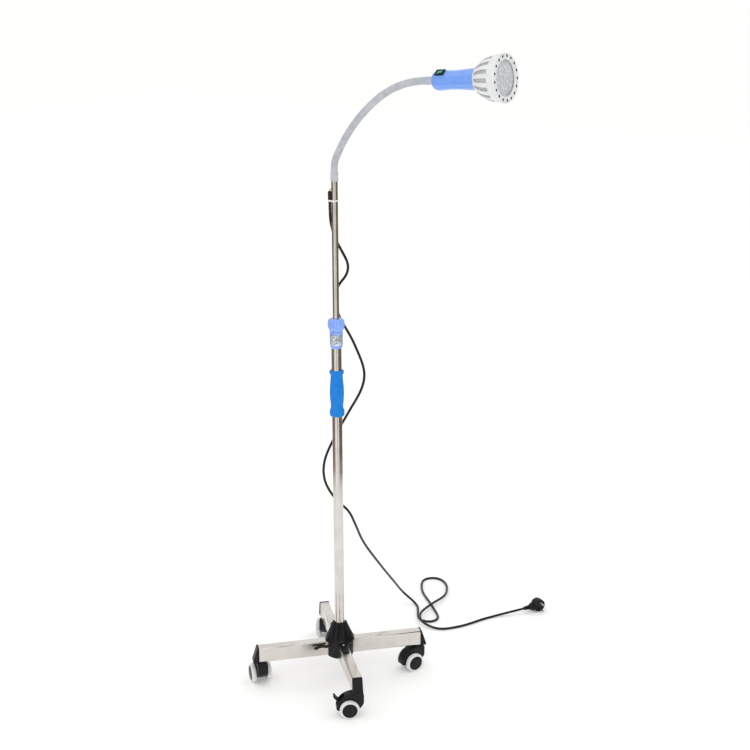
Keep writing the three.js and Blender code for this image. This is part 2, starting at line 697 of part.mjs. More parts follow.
function mainsPlug() {
  const { radius, depth } = PLUG;
  const body = rod(radius, -depth / 2, depth / 2).rotateX(Math.PI / 2);
  const relief = lathe([
    [0, 8], [13, 8], [11.5, 20], [7, 28], [5, 32], [4.6, 45.5], [0, 45.5],
  ], 14).rotateY(-Math.PI / 2).translate(0, 0, -3.6);
  const pins = [-9.5, 9.5].map((z) =>
    rod(2.4, 0, depth / 2 + 19, 10).rotateX(Math.PI / 2).translate(0, 0, z));
  return join(body, relief, ...pins);
}

function addLead(parent) {
  add(parent, 'mains_cord', cordTube(), blackPlastic());
  add(parent, 'cable_tie', cableTie(), whitePlastic());
  const plug = turnedGroup(parent, PLUG.pinHeading + 90, PLUG.x, PLUG.y);
  plug.position.z = PLUG.z;
  add(plug, 'mains_plug', mainsPlug(), blackPlastic());
}

// ---------------------------------------------------------------- assembly
const stand = new THREE.Group();
addBase(stand);
addMast(stand);
addNeck(stand);
addHead(stand);

// The origin is the centre of the stand's footprint on the floor, the lead left out.
stand.updateMatrixWorld(true);
const extent = new THREE.Box3().setFromObject(stand, true);
const centre = extent.getCenter(new THREE.Vector3());
addLead(stand);
stand.position.set(-centre.x, -centre.y, -extent.min.z);

const lamp = new THREE.Group();
lamp.add(stand);

export default lamp;
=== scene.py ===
# Looks of the mobile examination lamp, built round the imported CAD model.
# Sizes inside the piece functions are millimetres; every object is placed in metres.
import json
import math

import bmesh
import bpy
from mathutils import Matrix, Vector


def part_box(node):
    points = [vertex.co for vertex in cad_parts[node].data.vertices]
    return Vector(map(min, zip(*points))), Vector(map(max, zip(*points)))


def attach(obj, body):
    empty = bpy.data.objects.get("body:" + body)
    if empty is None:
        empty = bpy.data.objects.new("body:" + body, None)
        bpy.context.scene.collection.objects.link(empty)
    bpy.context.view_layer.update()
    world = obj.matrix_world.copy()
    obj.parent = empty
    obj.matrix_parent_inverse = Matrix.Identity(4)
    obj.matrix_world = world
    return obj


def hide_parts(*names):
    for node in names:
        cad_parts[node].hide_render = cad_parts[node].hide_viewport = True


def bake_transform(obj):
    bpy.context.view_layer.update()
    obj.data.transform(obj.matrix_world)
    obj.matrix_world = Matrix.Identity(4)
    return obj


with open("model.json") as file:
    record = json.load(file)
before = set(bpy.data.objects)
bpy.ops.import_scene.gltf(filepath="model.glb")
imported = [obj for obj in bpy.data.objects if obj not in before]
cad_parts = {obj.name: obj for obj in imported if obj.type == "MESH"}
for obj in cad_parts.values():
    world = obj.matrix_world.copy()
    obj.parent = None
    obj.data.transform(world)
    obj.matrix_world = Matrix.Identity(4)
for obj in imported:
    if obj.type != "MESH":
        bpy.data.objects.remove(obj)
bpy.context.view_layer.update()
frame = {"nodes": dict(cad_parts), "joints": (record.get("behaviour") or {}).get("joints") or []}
joints = {joint["name"]: joint for joint in frame["joints"]}
MM = 0.001
SHARP_DEGREES = 38


# ---------------------------------------------------------------- places from the frame
def middle(node):
    """Mean of a node's vertices, which lies on the axis of a round node."""
    vertices = frame["nodes"][node].data.vertices
    return sum((v.co for v in vertices), Vector()) / len(vertices)


def joint_place(name):
    return Vector(joints[name]["pos_m"])


mast_foot = joint_place("head_swivel")
mast_foot.z = 0.0


def frame_at(origin, z_axis, x_hint):
    """A placing matrix with the given Z axis and an X axis as near x_hint as it can be."""
    z = z_axis.normalized()
    y = z.cross(x_hint).normalized()
    x = y.cross(z)
    matrix = Matrix((x, y, z)).transposed().to_4x4()
    matrix.translation = origin
    return matrix


def shifted(x, y, z):
    """A translation in millimetres."""
    return Matrix.Translation(Vector((x, y, z)) * MM)


MAST = Matrix.Translation(mast_foot)
SIDES = ("right", "back", "left", "front")
BRAKED = ("front", "back")
# Legs whose tops carry a black tongue standing in for the cone's reflection in the polished leg: a
# painted reflection built as a dark slab.
REFLECTION_TONGUE_LEGS = ("front", "back")


# ---------------------------------------------------------------- camera
LENS_MM = 72
CAMERA_PLACE = Vector((2.1234, -2.8307, 1.958))
CAMERA_TURN = (35.34, 72.32, -0.215)
CAMERA_AZIMUTH = math.atan2(CAMERA_PLACE.y, CAMERA_PLACE.x)


def add_camera():
    data = bpy.data.cameras.new("camera")
    data.lens = LENS_MM
    data.sensor_width = 36
    data.clip_end = 50
    camera = bpy.data.objects.new("camera", data)
    heading, tilt, roll = (math.radians(a) for a in CAMERA_TURN)
    turn = Matrix.Rotation(heading, 4, "Z") @ Matrix.Rotation(tilt, 4, "X")
    turn = turn @ Matrix.Rotation(roll, 4, "Z")
    camera.matrix_world = Matrix.Translation(mast_foot + CAMERA_PLACE) @ turn
    bpy.context.scene.collection.objects.link(camera)
    bpy.context.scene.camera = camera
    bpy.context.scene.view_settings.view_transform = "Standard"


add_camera()


# ---------------------------------------------------------------- mesh helpers
def make(name, points, faces, matrix=MAST):
    """A smooth-shaded mesh object from points in millimetres, placed by a matrix in metres."""
    mesh = bpy.data.meshes.new(name)
    mesh.from_pydata([matrix @ (Vector(p) * MM) for p in points], [], faces)
    cleaner = bmesh.new()
    cleaner.from_mesh(mesh)
    bmesh.ops.remove_doubles(cleaner, verts=cleaner.verts, dist=1e-6)
    bmesh.ops.recalc_face_normals(cleaner, faces=cleaner.faces)
    cleaner.to_mesh(mesh)
    cleaner.free()
    mesh.shade_smooth()
    mesh.set_sharp_from_angle(angle=math.radians(SHARP_DEGREES))
    piece = bpy.data.objects.new(name, mesh)
    bpy.context.scene.collection.objects.link(piece)
    return piece


def rounded(points, reach, steps=4, loop=True):
    """Rounds an outline's corners; a point's third number is its own reach."""
    result = []
    for i, point in enumerate(points):
        corner = Vector(point[:2])
        own = point[2] if len(point) > 2 else reach
        if own == 0 or (not loop and i in (0, len(points) - 1)):
            result.append(corner)
            continue
        before = Vector(points[i - 1][:2]) - corner
        after = Vector(points[(i + 1) % len(points)][:2]) - corner
        near = min(own, 0.47 * before.length, 0.47 * after.length)
        start = corner + before.normalized() * near
        end = corner + after.normalized() * near
        for k in range(steps + 1):
            t = k / steps
            result.append((1 - t) ** 2 * start + 2 * t * (1 - t) * corner + t * t * end)
    return result


def densified(outline, step, inner=0):
    """Adds points along the edges of a closed outline that lie outside the inner radius."""
    result = []
    for a, b in zip(outline, outline[1:] + outline[:1]):
        parts = max(1, round((b - a).length / step)) if min(a.x, b.x) > inner else 1
        result += [a.lerp(b, k / parts) for k in range(parts)]
    return result


def full_turn(sides):
    return [2 * math.pi * k / sides for k in range(sides)]


def revolve(name, profile, matrix=MAST, sides=64, loop=True, angles=None, shape=None):
    """A solid of revolution about Z from (radius, height) points; shape may change a radius."""
    angles = angles or full_turn(sides)
    points = []
    rings = []
    for r, z in profile:
        if r < 1e-6:
            rings.append([len(points)] * len(angles))
            points.append((0, 0, z))
            continue
        rings.append(list(range(len(points), len(points) + len(angles))))
        for angle in angles:
            radius = shape(angle, r, z) if shape else r
            points.append((radius * math.cos(angle), radius * math.sin(angle), z))
    faces = []
    pairs = list(zip(rings, rings[1:]))
    if loop:
        pairs.append((rings[-1], rings[0]))
    for low, high in pairs:
        for k in range(len(angles)):
            n = (k + 1) % len(angles)
            corners = list(dict.fromkeys((low[k], low[n], high[n], high[k])))
            if len(corners) > 2:
                faces.append(corners)
    return make(name, points, faces, matrix)


def inset(outline, distance):
    """Moves an anticlockwise outline inwards."""
    count = len(outline)
    result = []
    for i, point in enumerate(outline):
        along = (outline[(i + 1) % count] - outline[i - 1]).normalized()
        result.append(point + Vector((-along.y, along.x)) * distance)
    return result


def ring_faces(rings, sides):
    """A cap on each end, and the side faces between rings of points."""
    last = rings - 1
    faces = [list(range(sides)), list(range(last * sides, rings * sides))]
    for i in range(last):
        for k in range(sides):
            n = (k + 1) % sides
            faces.append((i * sides + k, i * sides + n, (i + 1) * sides + n, (i + 1) * sides + k))
    return faces


def slab(name, outline, bottom, top, edge, matrix=MAST, steps=3):
    """An anticlockwise outline run along Z, with rounded rims."""
    sweep = [math.pi / 2 * k / steps for k in range(steps + 1)]
    levels = [(edge * (1 - math.sin(a)), bottom + edge * (1 - math.cos(a))) for a in sweep]
    levels += [(edge * (1 - math.sin(a)), top - edge * (1 - math.cos(a))) for a in reversed(sweep)]
    points = []
    for distance, z in levels:
        points += [(p.x, p.y, z) for p in inset(outline, distance)]
    return make(name, points, ring_faces(len(levels), len(outline)), matrix)


def box_outline(width, height, corner, centre=(0, 0)):
    x, y = width / 2, height / 2
    outline = rounded([(-x, -y), (x, -y), (x, y), (-x, y)], corner, 5)
    return [p + Vector(centre) for p in outline]


def join(name, *pieces):
    """One object from several meshes."""
    whole = bmesh.new()
    for piece in pieces:
        whole.from_mesh(piece.data)
    mesh = bpy.data.meshes.new(name)
    whole.to_mesh(mesh)
    whole.free()
    for piece in pieces:
        bpy.data.objects.remove(piece)
    result = bpy.data.objects.new(name, mesh)
    bpy.context.scene.collection.objects.link(result)
    return result


def cut(piece, *tools):
    """Subtracts the tools from a piece."""
    for tool in tools:
        modifier = piece.modifiers.new("cut", "BOOLEAN")
        modifier.object = tool
        modifier.solver = "EXACT"
    bpy.context.view_layer.update()
    evaluated = piece.evaluated_get(bpy.context.evaluated_depsgraph_get())
    mesh = bpy.data.meshes.new_from_object(evaluated)
    piece.modifiers.clear()
    piece.data = mesh
    mesh.shade_smooth()
    mesh.set_sharp_from_angle(angle=math.radians(SHARP_DEGREES))
    for tool in tools:
        bpy.data.objects.remove(tool)
    return piece


def dress(piece, body, look, slot, *nodes):
    """Gives a piece its material, its body and the CAD nodes that it stands for; the slot is not
    used.
    """
    piece.data.materials.clear()
    piece.data.materials.append(look)
    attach(piece, body)
    if nodes:
        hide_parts(*nodes)
    return piece


# ---------------------------------------------------------------- material helpers
class Look:
    """A procedural material round one Principled shader."""

    def __init__(self, name, **sockets):
        self.material = bpy.data.materials.new(name)
        self.material.use_nodes = True
        self.tree = self.material.node_tree
        self.shader = self.tree.nodes["Principled BSDF"]
        for socket, value in sockets.items():
            self.shader.inputs[SOCKET_NAMES[socket]].default_value = value
        self.place = self.node("ShaderNodeTexCoord").outputs["Object"]
        self.height = None

    def node(self, kind, **values):
        node = self.tree.nodes.new(kind)
        for socket, value in values.items():
            node.inputs[socket.replace("_", " ")].default_value = value
        return node

    def link(self, start, end):
        self.tree.links.new(start, end)

    def stretched(self, scale, turn=0.0):
        """Object coordinates turned about Z, then scaled."""
        mapping = self.node("ShaderNodeMapping")
        mapping.vector_type = "TEXTURE"
        mapping.inputs["Rotation"].default_value = (0, 0, turn)
        mapping.inputs["Scale"].default_value = scale
        self.link(self.place, mapping.inputs["Vector"])
        return mapping.outputs["Vector"]

    def noise(self, scale, detail=4.0, roughness=0.55, vector=None):
        node = self.node("ShaderNodeTexNoise", Scale=scale, Detail=detail, Roughness=roughness)
        self.link(vector or self.place, node.inputs["Vector"])
        return node.outputs["Fac"]

    def between(self, value, low, high, start=0.3, end=0.7):
        """Maps a value from start..end to low..high."""
        node = self.node("ShaderNodeMapRange")
        node.inputs["From Min"].default_value = start
        node.inputs["From Max"].default_value = end
        node.inputs["To Min"].default_value = low
        node.inputs["To Max"].default_value = high
        self.link(value, node.inputs["Value"])
        return node.outputs["Result"]

    def colours(self, value, first, second):
        node = self.node("ShaderNodeMix")
        node.data_type = "RGBA"
        node.inputs["A"].default_value = (*first, 1)
        node.inputs["B"].default_value = (*second, 1)
        self.link(value, node.inputs["Factor"])
        return node.outputs["Result"]

    def paint(self, value, first, second, start=0.35, end=0.65):
        self.link(self.colours(self.between(value, 0, 1, start, end), first, second),
                  self.shader.inputs["Base Color"])

    def rough(self, value, low, high):
        self.link(self.between(value, low, high), self.shader.inputs["Roughness"])

    def bump(self, value, strength, depth_mm):
        node = self.node("ShaderNodeBump", Strength=strength, Distance=depth_mm * MM)
        self.link(value, node.inputs["Height"])
        if self.height:
            self.link(self.height, node.inputs["Normal"])
        self.height = node.outputs["Normal"]
        self.link(self.height, self.shader.inputs["Normal"])


SOCKET_NAMES = {"metallic": "Metallic", "roughness": "Roughness", "sss": "Subsurface Weight",
                "coat": "Coat Weight", "coat_roughness": "Coat Roughness",
                "transmission": "Transmission Weight", "specular": "Specular IOR Level"}


def steel(name, stretch, turn=0.0, low=0.10, high=0.22):
    """Polished stainless tube: drawn grain along it, faint smears and a warm tint."""
    look = Look(name, metallic=1.0, roughness=0.15)
    grain = look.noise(1500, 3, 0.6, look.stretched(stretch, turn))
    smears = look.noise(22, 5, 0.6)
    look.paint(smears, (0.60, 0.57, 0.53), (0.70, 0.675, 0.64))
    look.rough(smears, low, high)
    look.bump(grain, 0.10, 0.02)
    return look.material


def plastic(name, dark, light, rough=(0.25, 0.35), grain=0.05, **sockets):
    """Moulded plastic with a faint cloudiness and a fine skin texture."""
    look = Look(name, **sockets)
    clouds = look.noise(60, 4)
    look.paint(clouds, dark, light)
    look.rough(look.noise(180, 3), *rough)
    look.bump(look.noise(900, 2), grain, 0.15)
    return look.material


def black_plastic():
    look = Look("black_moulding", specular=0.22)
    look.paint(look.noise(45, 5), (0.0045, 0.0047, 0.0062), (0.010, 0.0105, 0.014))
    look.rough(look.noise(120, 4), 0.30, 0.46)
    look.bump(look.noise(1400, 3), 0.25, 0.12)
    return look.material


def rubber(name, dark, light, rough=(0.5, 0.62)):
    look = Look(name, specular=0.25)
    look.paint(look.noise(70, 5), dark, light)
    look.rough(look.noise(150, 4), *rough)
    look.bump(look.noise(1800, 2), 0.35, 0.10)
    return look.material


def label_foil():
    """Silver foil with soft, meaningless patches of brown and pale blue tint."""
    look = Look("label_foil", metallic=0.55, roughness=0.3)
    cells = look.node("ShaderNodeTexVoronoi", Scale=135)
    cells.distance = "CHEBYCHEV"
    look.link(look.stretched((1, 1, 0.6)), cells.inputs["Vector"])
    shade = look.between(cells.outputs["Distance"], 0, 1, 0.15, 0.6)
    printed = look.colours(shade, (0.25, 0.225, 0.20), (0.76, 0.79, 0.84))
    tint = look.between(look.noise(75, 1), 0, 1, 0.50, 0.56)
    mixer = look.node("ShaderNodeMix")
    mixer.data_type = "RGBA"
    mixer.inputs["B"].default_value = (0.50, 0.66, 0.90, 1)
    look.link(printed, mixer.inputs["A"])
    look.link(tint, mixer.inputs["Factor"])
    look.link(mixer.outputs["Result"], look.shader.inputs["Base Color"])
    look.rough(look.noise(200), 0.25, 0.4)
    look.bump(look.noise(300), 0.1, 0.1)
    return look.material


def lens_look():
    look = Look("lens", roughness=0.08, transmission=0.25, coat=0.6, coat_roughness=0.05)
    # Spots lighter at their middles and darker at their edges: painted highlight for light on the
    # domed lenses, with painted shade between.
    cells = look.node("ShaderNodeTexVoronoi", Scale=105)
    look.link(look.place, cells.inputs["Vector"])
    look.paint(cells.outputs["Distance"], (0.88, 0.90, 0.93), (0.66, 0.69, 0.735), 0.1, 0.75)
    look.bump(look.noise(400, 2), 0.1, 0.2)
    return look.material


LOOKS = {
    "mast": steel("steel_mast", (1, 1, 60)),
    "pin": steel("steel_pin", (1, 1, 1), 0, 0.2, 0.35),
    "black": black_plastic(),
    "blue": plastic("blue_moulding", (0.155, 0.315, 0.80), (0.18, 0.35, 0.85), (0.18, 0.26),
                    0.04, sss=0.08, coat=0.35, coat_roughness=0.12),
    "nut": plastic("lilac_moulding", (0.20, 0.36, 0.86), (0.25, 0.42, 0.92), (0.16, 0.26),
                   0.03, sss=0.12, coat=0.4, coat_roughness=0.1),
    "grip": rubber("blue_grip", (0.002, 0.185, 0.62), (0.005, 0.215, 0.70), (0.42, 0.55)),
    "neck": plastic("neck_sleeve", (0.40, 0.42, 0.46), (0.50, 0.52, 0.56), (0.3, 0.42), 0.05),
    "white": plastic("white_moulding", (0.72, 0.72, 0.715), (0.78, 0.78, 0.775), (0.28, 0.4),
                     0.05, sss=0.05),
    # Darker grey for the faces inside the housing's recesses: painted shade.
    "recess_shade": plastic("white_recess_painted_shade", (0.46, 0.465, 0.475), (0.54, 0.545, 0.555), (0.45, 0.55)),
    # Near-black for the discs inside the vent holes: painted shade.
    "shade": rubber("vent_painted_shade", (0.004, 0.004, 0.004), (0.009, 0.009, 0.009), (0.8, 0.9)),
    "tread": plastic("tread", (0.66, 0.66, 0.64), (0.74, 0.74, 0.73), (0.35, 0.5), 0.08),
    "cord": rubber("cord_jacket", (0.008, 0.008, 0.009), (0.018, 0.018, 0.020), (0.32, 0.42)),
    "core": rubber("core_tip", (0.35, 0.42, 0.03), (0.45, 0.50, 0.05)),
    "green": plastic("green_rocker", (0.0, 0.22, 0.115), (0.0, 0.29, 0.16), (0.1, 0.16), 0.02,
                     coat=0.5, coat_roughness=0.05),
    "brass": steel("brass_pin", (1, 1, 30), 0, 0.18, 0.3),
    "foil": label_foil(),
    "lens": lens_look(),
}


# ---------------------------------------------------------------- mains lead
CORD_DIAMETER = 0.0065
CORD_FLOOR = 3.4
CORD_ROUTE = [
    (-9.4, -6.8, 1289), (-9.4, -6.8, 1256), (-12.5, 0.5, 1211), (-6, 13.5, 1166),
    (13, 21, 1129), (18, 29, 1106), (16, 24, 1083), (-5, 14, 1052),
    (-14, 23, 990), (19, 46, 907), (43, 58, 830), (37, 54, 788),
    (8, 39, 726), (-16, 15, 666), (-36, -8, 598), (-37, -7, 545),
    (-20, 14, 492), (2, 40, 455), (1, 70, 408), (-19, 133, 330),
    (-40, 241, 216), (-72, 351, 116), (-99, 451, 26), (-62, 454, 3.4),
    (1, 378, 3.4), (32, 383, 3.4), (41, 410, 3.4), (-18, 470, 3.4),
    (-99, 540, 3.4), (-134, 607, 3.4), (-109, 634, 3.4), (-70, 621, 3.4),
    (-21, 545, 8), (-17, 465, 11.5), (-10, 396, 11), (25, 358, 10),
    (75, 360, 4), (118, 412, 3.4), (158, 508, 3.4), (218.3, 585.4, 14.6),
]


def spline(points, pieces):
    """A centripetal Catmull-Rom curve through the points."""
    points = [Vector(p) for p in points]
    ends = [2 * points[0] - points[1], *points, 2 * points[-1] - points[-2]]
    line = []
    for i in range(1, len(ends) - 2):
        a, b, c, d = ends[i - 1:i + 3]
        gaps = [math.sqrt((q - p).length) for p, q in ((a, b), (b, c), (c, d))]
        leave = ((b - a) / gaps[0] - (c - a) / (gaps[0] + gaps[1]) + (c - b) / gaps[1]) * gaps[1]
        reach = ((c - b) / gaps[1] - (d - b) / (gaps[1] + gaps[2]) + (d - c) / gaps[2]) * gaps[1]
        for k in range(pieces):
            t = k / pieces
            line.append(b + leave * t + (3 * (c - b) - 2 * leave - reach) * t ** 2
                        + (2 * (b - c) + leave + reach) * t ** 3)
    line.append(points[-1])
    return line


def evenly(line, step):
    """The same line with points a fixed distance apart."""
    lengths = [0.0]
    for a, b in zip(line, line[1:]):
        lengths.append(lengths[-1] + (b - a).length)
    count = max(2, round(lengths[-1] / step))
    result = []
    at = 0
    for k in range(count + 1):
        want = lengths[-1] * k / count
        while at < len(line) - 2 and lengths[at + 1] < want:
            at += 1
        share = (want - lengths[at]) / max(lengths[at + 1] - lengths[at], 1e-9)
        result.append(line[at].lerp(line[at + 1], share))
    return result


def eased(line, rounds):
    """Softens a line between its fixed ends."""
    for _ in range(rounds):
        inner = [(a + 2 * b + c) / 4 for a, b, c in zip(line, line[1:], line[2:])]
        line = [line[0], *inner, line[-1]]
    return line


def pipe(name, line, radius, sides=16, matrix=MAST):
    """A closed tube along a line; radius may be a function of the share of its length."""
    width = radius if callable(radius) else lambda share: radius
    points = []
    across = None
    last = len(line) - 1
    for i, centre in enumerate(line):
        along = (line[min(i + 1, last)] - line[max(i - 1, 0)]).normalized()
        if across is None:
            across = along.orthogonal()
        across = (across - along * across.dot(along)).normalized()
        other = along.cross(across)
        for angle in full_turn(sides):
            spoke = across * math.cos(angle) + other * math.sin(angle)
            points.append(centre + spoke * width(i / last))
    return make(name, points, ring_faces(len(line), sides), matrix)


def cord_line():
    line = eased(evenly(spline(CORD_ROUTE, 24), 4), 14)
    for point in line:
        point.z = max(point.z, CORD_FLOOR)
    return line


def add_cord():
    line = cord_line()
    path = [mast_foot + p * MM for p in line]
    length = sum((b - a).length for a, b in zip(path, path[1:]))
    cord = pipe("lead", line, CORD_DIAMETER / 2 / MM)
    cord.data.materials.append(LOOKS["cord"])
    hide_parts("mains_cord")
    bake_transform(cord)
    return cord, path, length


def add_lead_sleeve():
    """The thicker sleeve over the cord's top, with the bared core above it."""
    x, y, top = CORD_ROUTE[0]
    outline = rounded([(0, -23), (4.3, -23), (4.6, 0), (3.2, 2), (0, 2)], 1.2)
    sleeve = revolve("lead_sleeve", outline, MAST @ shifted(x, y, top), 32, False)
    dress(sleeve, "mast", LOOKS["cord"], "cord_rubber")
    inner = Vector((x, y, 0)) * 0.45
    core = pipe("core_tip", spline([(x, y, top + 1), (x * 0.95, y * 0.95, top + 5),
                                    (inner.x, inner.y, top + 9)], 6), 1.5, 12)
    dress(core, "mast", LOOKS["core"], "cord_rubber")


TIE_ROUND_TUBE = 9.3
TIE_ROUND_CORD = 4.6
TIE_THICKNESS = 1.0
TIE_HALF_WIDTH = 1.9


def add_cable_tie():
    """A nylon tie drawn round the upper tube and the cord, with its head."""
    low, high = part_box("cable_tie")
    height = (low.z + high.z) / 2 / MM
    x, y, _ = CORD_ROUTE[1]
    reach = math.hypot(x, y)
    turn = Matrix.Rotation(math.atan2(y, x), 4, "Z")
    place = MAST @ shifted(0, 0, height) @ turn
    lean = math.acos((TIE_ROUND_TUBE - TIE_ROUND_CORD) / reach)
    outline = [Vector((TIE_ROUND_TUBE * math.cos(a), TIE_ROUND_TUBE * math.sin(a)))
               for a in (lean + (2 * math.pi - 2 * lean) * k / 40 for k in range(41))]
    outline += [Vector((reach + TIE_ROUND_CORD * math.cos(a), TIE_ROUND_CORD * math.sin(a)))
                for a in (-lean + 2 * lean * k / 16 for k in range(17))]
    points = []
    for point, inner in zip(outline, inset(outline, TIE_THICKNESS)):
        points += [(point.x, point.y, -TIE_HALF_WIDTH), (point.x, point.y, TIE_HALF_WIDTH),
                   (inner.x, inner.y, TIE_HALF_WIDTH), (inner.x, inner.y, -TIE_HALF_WIDTH)]
    count = len(outline)
    faces = []
    for i in range(count):
        for k in range(4):
            n = (i + 1) % count
            faces.append((i * 4 + k, i * 4 + (k + 1) % 4, n * 4 + (k + 1) % 4, n * 4 + k))
    band = make("band", points, faces, place)
    head = slab("head", box_outline(5.2, 4.6, 1.0), -2.4, 2.4, 0.5,
                place @ shifted(3, 10.2, 0))
    tie = join("tie", band, head)
    dress(tie, "mast", LOOKS["white"], "white_plastic", "cable_tie")


PLUG_CENTRE = Vector((240, 628, 18.3))
PLUG_HEADING = math.radians(-27)


def add_plug():
    """Round mains plug: ribbed relief, a body with finger grips, and two pins."""
    pins = Vector((math.cos(PLUG_HEADING), math.sin(PLUG_HEADING), 0))
    up = Vector((0, 0, 1))
    centre = mast_foot + PLUG_CENTRE * MM
    place = frame_at(centre, pins, up)
    profile = rounded([(0, -13), (12, -13, 4), (17.2, -9, 3), (17.9, -3, 2), (17.9, 13, 1.2),
                       (14.6, 13, 0.8), (14.6, 11.4, 0.6), (0, 11.4)], 1.5, 5, False)

    def gripped(angle, r, z):
        flute = 0.5 + 0.5 * math.cos(28 * angle)
        return r - 0.8 * flute if r > 16.5 and z < 6 else r

    body = revolve("body", profile, place, 168, False, shape=gripped)
    lead_side = pins.cross(up)
    relief_place = frame_at(centre - up * 3.6 * MM, lead_side, up)
    rings = [(0, 8), (12.5, 8), (11.3, 20), (7.4, 27)]
    for k in range(6):
        z = 28.5 + k * 2.8
        rings += [(6.4 - 0.25 * k, z), (6.4 - 0.25 * k, z + 1.5), (4.7, z + 1.7), (4.7, z + 2.6)]
    rings += [(4.4, 45.3), (0, 45.3)]
    relief = revolve("relief", rounded(rings, 0.5, 2, False), relief_place, 40, False)
    plug = join("plug_body", body, relief)
    dress(plug, "base", LOOKS["black"], "black_plastic", "mains_plug")
    rod = rounded([(0, 10), (2.4, 10), (2.4, 32), (0, 32)], 1.3, 4, False)
    rods = [revolve("pin", rod, place @ shifted(height, 0, 0), 24, False)
            for height in (-9.5, 9.5)]
    rods = join("plug_pins", *rods)
    dress(rods, "base", LOOKS["pin"], "stainless_steel")
    return plug, rods


lead, lead_path, lead_length = add_cord()
lead_plug = add_plug()
add_lead_sleeve()
add_cable_tie()


# ---------------------------------------------------------------- mast
LOWER_RADIUS = 12.7
UPPER_RADIUS = 8
COLLAR_RADIUS = 16
LABEL_BAND = (909.8, 937.6)
FLUTES = 12


def tube_profile(inner, outer, bottom, top, lip=0.4):
    return rounded([(inner, bottom), (outer, bottom), (outer, top), (inner, top)], lip, 3)


def add_mast():
    lower = revolve("mast_lower", tube_profile(LOWER_RADIUS - 1.2, LOWER_RADIUS, 76, 930), sides=96)
    dress(lower, "base", LOOKS["mast"], "stainless_steel", "lower_tube")
    upper = revolve("mast_upper", tube_profile(UPPER_RADIUS - 1, UPPER_RADIUS, 650, 1314), sides=80)
    dress(upper, "mast", LOOKS["mast"], "stainless_steel", "upper_tube")
    grip = [(12.9, 0, 0.3), (17.2, 0, 1.5), (18.6, 3.5, 2), (18.5, 14, 4), (15.4, 20.5, 5),
            (15.6, 29, 5), (17.3, 45, 8), (17.9, 61, 8), (17.2, 78, 8), (15.6, 94, 8),
            (15.0, 104, 4), (15.8, 109.6, 1.5), (18.1, 111.2, 1), (18.1, 117.2, 1.6),
            (14.4, 119.6, 1), (12.9, 119.4, 0.3)]
    low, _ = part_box("hand_grip")
    place = MAST @ Matrix.Translation(Vector((0, 0, low.z)))
    dress(revolve("grip", rounded(grip, 2, 5), place, 96), "base", LOOKS["grip"], "blue_rubber",
          "hand_grip")


def add_collar():
    body = [(12.9, 901.5, 0.4), (14.0, 901.5, 0.8), (16.0, 908, 2), (16.1, 944.6, 0.5),
            (14.1, 944.6, 0.3), (14.1, 957, 0.5), (12.4, 957, 0.3)]
    collar = revolve("collar", rounded(body, 1, 4), sides=96)
    dress(collar, "base", LOOKS["nut"], "blue_plastic", "collar_body")
    low, high = LABEL_BAND
    label_edge = ((COLLAR_RADIUS, low), (COLLAR_RADIUS + 0.3, low + 0.4),
                  (COLLAR_RADIUS + 0.3, high - 0.4), (COLLAR_RADIUS, high))
    half_wrap = math.radians(168)
    steps = 96
    points = []
    for k in range(steps + 1):
        angle = CAMERA_AZIMUTH - half_wrap + 2 * half_wrap * k / steps
        for r, z in label_edge:
            points.append((r * math.cos(angle), r * math.sin(angle), z))
    faces = ring_faces(steps + 1, len(label_edge))
    dress(make("collar_label", points, faces), "base", LOOKS["foil"], "stainless_steel")


def add_lock_nut():
    """Bulb-shaped nut whose finger flutes fade out at its neck and crown."""
    body = [(14.5, 945.4), (16.8, 945.4, 1), (18.6, 949.7, 3), (20.4, 954.5, 4), (21, 960, 5),
            (20.8, 967, 4), (19.6, 972.2, 2.5), (17.4, 974.9, 1.5), (14.5, 976.4, 1.5),
            (8.6, 976.4, 0.6), (8.6, 972, 0.5), (14.4, 961, 0.5)]

    def fluted(angle, r, z):
        wave = 0.5 - 0.5 * math.cos(FLUTES * angle)
        depth = 1.5 * max(0.0, min(1.0, (r - 14.8) / 3.5))
        return r - depth * wave ** 3

    nut = revolve("lock_nut_shell", rounded(body, 1.5, 6), sides=FLUTES * 16, shape=fluted)
    dress(nut, "lock_nut", LOOKS["nut"], "blue_plastic", "lock_nut")


add_mast()
add_collar()
add_lock_nut()


# ---------------------------------------------------------------- gooseneck
NECK_ARCS = ((28, 0), (28, 26), (196, 28), (130, 30.78), (34, 0))
NECK_START = 1317
NECK_RADIUS = 8.6
NECK_PIECES = 5
NECK_GAP = 0.5
NECK_LENGTH = sum(length for length, bend in NECK_ARCS)
RIB_PITCH = 3.25
RIB_DEPTH = 0.55


def neck_at(distance):
    """Place, direction and outward side on the neck's line, in millimetres from the mast."""
    left = distance
    angle = 0.0
    x, z = 0.0, NECK_START
    for length, bend in NECK_ARCS:
        run = min(left, length)
        turn = math.radians(bend) * run / length
        if bend == 0:
            x += run * math.sin(angle)
            z += run * math.cos(angle)
        else:
            r = length / math.radians(bend)
            x += r * (math.cos(angle) - math.cos(angle + turn))
            z += r * (math.sin(angle + turn) - math.sin(angle))
        angle += turn
        left -= run
        if left <= 0:
            break
    along = Vector((math.sin(angle), 0, math.cos(angle)))
    return Vector((x, 0, z)), along, Vector((along.z, 0, -along.x))


def neck_sleeve(name, start, end, sides=48):
    """A ribbed length of the neck; ribs keep their places from one length to the next."""
    first = math.ceil(start / RIB_PITCH)
    marks = [start]
    for rib in range(first, math.floor(end / RIB_PITCH) + 1):
        marks += [(rib + share) * RIB_PITCH for share in (0, 0.12, 0.3, 0.5, 0.7, 0.88)]
    marks = [m for m in marks if m < end - 0.05] + [end]
    points = []
    for distance in marks:
        centre, _, side = neck_at(distance)
        phase = (distance / RIB_PITCH) % 1.0
        radius = NECK_RADIUS - RIB_DEPTH * (0.5 + 0.5 * math.cos(2 * math.pi * phase)) ** 2
        for angle in full_turn(sides):
            spoke = side * math.cos(angle) + Vector((0, 1, 0)) * math.sin(angle)
            points.append(centre + spoke * radius)
    return make(name, points, ring_faces(len(marks), sides))


